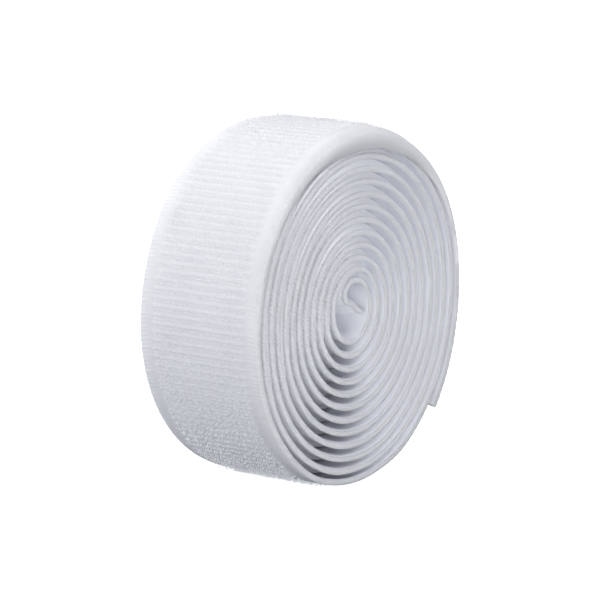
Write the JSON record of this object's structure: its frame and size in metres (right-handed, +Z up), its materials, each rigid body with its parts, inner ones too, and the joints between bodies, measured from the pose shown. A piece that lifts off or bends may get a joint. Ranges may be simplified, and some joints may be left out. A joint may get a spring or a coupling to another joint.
{
  "type": "hook tape roll",
  "caption": "Roll of white woven hook fastening tape, wound on itself without a core, hooks outward between plain selvedges, with a loose outer end that peels open.",
  "frame": {"origin": "centre of the bounding box's bottom, on the floor under the roll", "axes": "+Y along the roll's axis, away from the pictured end face; +Z up; the loose end hangs on the +X side"},
  "size_m": [0.0666, 0.0266, 0.0649],
  "materials": {
    "woven_nylon": "matt white woven nylon",
    "hook_filament": "slightly glossy white nylon monofilament",
    "resin_coat": "smooth white resin"
  },
  "bodies": {
    "roll": {"woven_ground_roll": "woven_nylon", "hook_pile_roll": "hook_filament", "back_coat_roll": "resin_coat"},
    "tail": {"woven_ground_tail": "woven_nylon", "hook_pile_tail": "hook_filament", "back_coat_tail": "resin_coat"}
  },
  "joints": [
    {"name": "tail_peel", "type": "hinge", "parent": "roll", "child": "tail", "pos_m": [0.03241, -0.00076, 0.03386], "axis": [0, -1, 0], "range_deg": [0, 50], "stiffness_Nm_per_rad": 0.002}
  ]
}
